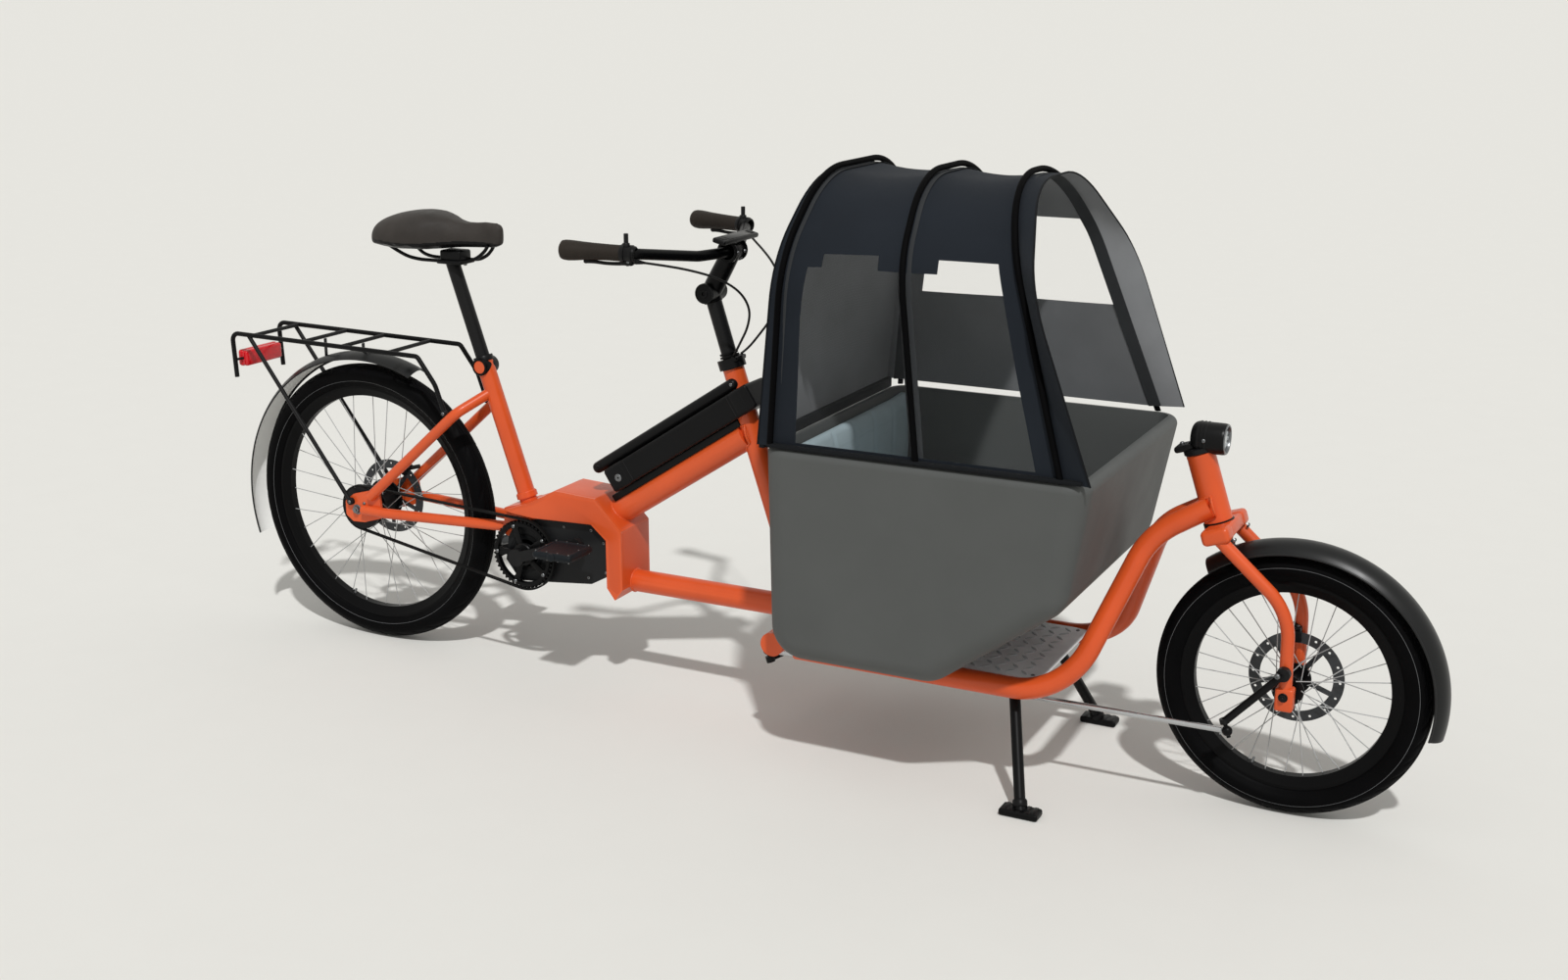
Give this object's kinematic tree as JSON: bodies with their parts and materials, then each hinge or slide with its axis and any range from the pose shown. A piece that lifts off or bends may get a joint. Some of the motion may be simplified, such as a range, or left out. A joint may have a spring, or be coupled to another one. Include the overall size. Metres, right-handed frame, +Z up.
{
  "type": "electric cargo bike",
  "caption": "Electric cargo bike with a moulded front box, seat bench and rain tent, rod steering, belt drive, rear rack and two-legged stand",
  "frame": {"origin": "under the middle of the bike at ground height", "axes": "+X forward, +Y to the rider's left, +Z up"},
  "size_m": [2.8259, 0.643, 1.2003],
  "materials": {
    "frame_orange": "smooth satin powder coat",
    "frame_orange_mid": "smooth satin powder coat",
    "frame_orange_front": "smooth satin powder coat",
    "plate_aluminium": "checker tread plate",
    "motor_black": "satin moulded cover",
    "battery_black": "fine grained plastic",
    "mount_black": "fine grained plastic",
    "bar_guard_black": "fine grained plastic",
    "post_black": "black anodised",
    "saddle_brown": "dark brown grained cover",
    "rack_black": "matt black coat",
    "lamp_red": "clear red lens",
    "fender_grey": "semi gloss charcoal",
    "belt_black": "matt toothed belt",
    "cup_black": "black anodised",
    "headlight_black": "matt housing with clear lens",
    "box_grey": "fine foam grain",
    "bench_grey": "smooth board",
    "cushion_grey": "padded cloth",
    "cushion_grey_back": "padded cloth",
    "hoop_black": "matt black coat",
    "tent_navy": "coated woven cloth",
    "window_film": "clear flexible film",
    "column_black": "black anodised",
    "handlebar_black": "black anodised",
    "grip_brown": "dark brown moulded grip",
    "control_black": "matt controls",
    "display_black": "glossy screen",
    "cable_black": "cable jacket",
    "rod_silver": "bright drawn rod",
    "rod_end_steel": "turned steel",
    "fork_orange": "smooth satin powder coat",
    "arm_black": "matt black coat",
    "fender_grey_front": "semi gloss charcoal",
    "tyre_black": "moulded tread and sidewall",
    "rim_black": "black anodised",
    "spoke_steel": "drawn wire",
    "hub_black": "black anodised",
    "rotor_steel": "ground disc on a black carrier",
    "sprocket_steel": "machined teeth",
    "chainring_black": "black anodised",
    "crank_black": "black anodised",
    "pedal_black": "grip platform",
    "stand_black": "matt black coat"
  },
  "bodies": {
    "frame": {"rear_frame": "frame_orange", "middle_frame": "frame_orange_mid", "front_frame": "frame_orange_front", "step_plate": "plate_aluminium", "motor": "motor_black", "battery": "battery_black", "battery_mount": "mount_black", "top_bar": "bar_guard_black", "seat_post": "post_black", "saddle": "saddle_brown", "rack": "rack_black", "tail_light": "lamp_red", "rear_fender": "fender_grey", "belt": "belt_black", "headset_cups": "cup_black", "headlight": "headlight_black", "box_shell": "box_grey", "bench": "bench_grey", "seat_cushion": "cushion_grey", "back_cushion": "cushion_grey_back", "tent_hoops": "hoop_black", "tent_cover": "tent_navy", "tent_windows": "window_film"},
    "steering": {"steering_column": "column_black", "handlebar": "handlebar_black", "grips": "grip_brown", "bar_controls": "control_black", "display": "display_black", "brake_cables": "cable_black"},
    "rod": {"tie_rod": "rod_silver", "rod_ends": "rod_end_steel"},
    "fork": {"fork": "fork_orange", "fork_arm": "arm_black", "front_fender": "fender_grey_front"},
    "front_wheel": {"front_tyre": "tyre_black", "front_rim": "rim_black", "front_spokes": "spoke_steel", "front_hub": "hub_black", "front_rotor": "rotor_steel"},
    "rear_wheel": {"rear_tyre": "tyre_black", "rear_rim": "rim_black", "rear_spokes": "spoke_steel", "rear_hub": "hub_black", "rear_rotor": "rotor_steel", "sprocket": "sprocket_steel"},
    "crank": {"chainring": "chainring_black", "crank_arms": "crank_black"},
    "pedal_r": {"pedal_right": "pedal_black"},
    "pedal_l": {"pedal_left": "pedal_black"},
    "stand": {"kickstand": "stand_black"}
  },
  "joints": [
    {"name": "steering", "type": "hinge", "parent": "frame", "child": "steering", "pos_m": [0.02041, 0, 0.5], "axis": [-0.3173, 0, 0.9483], "range_deg": [-24, 24]},
    {"name": "fork_turn", "type": "hinge", "parent": "frame", "child": "fork", "pos_m": [0.99015, 0, 0.5], "axis": [-0.3173, 0, 0.9483], "range_deg": [-24, 24]},
    {"name": "rod_swing", "type": "hinge", "parent": "steering", "child": "rod", "pos_m": [0.06715, -0.1, 0.178], "axis": [-0.3173, 0, 0.9483], "range_deg": [-24, 24]},
    {"name": "front_wheel_spin", "type": "hinge", "parent": "fork", "child": "front_wheel", "pos_m": [1.128, 0, 0.258], "axis": [0, 1, 0], "continuous": true},
    {"name": "rear_wheel_spin", "type": "hinge", "parent": "frame", "child": "rear_wheel", "pos_m": [-1.033, 0, 0.335], "axis": [0, 1, 0], "continuous": true},
    {"name": "crank_spin", "type": "hinge", "parent": "frame", "child": "crank", "pos_m": [-0.576, 0, 0.285], "axis": [0, 1, 0], "continuous": true},
    {"name": "pedal_right_spin", "type": "hinge", "parent": "crank", "child": "pedal_r", "pos_m": [-0.41432, -0.083, 0.33753], "axis": [0, 1, 0], "continuous": true},
    {"name": "pedal_left_spin", "type": "hinge", "parent": "crank", "child": "pedal_l", "pos_m": [-0.73768, 0.083, 0.23247], "axis": [0, 1, 0], "continuous": true},
    {"name": "stand_fold", "type": "hinge", "parent": "frame", "child": "stand", "pos_m": [0.619, 0, 0.223], "axis": [0, 1, 0], "range_deg": [0, 75]}
  ],
  "couplings": [
    {"joint": "fork_turn", "follows": "steering", "ratio": 1},
    {"joint": "rod_swing", "follows": "steering", "ratio": -1}
  ]
}
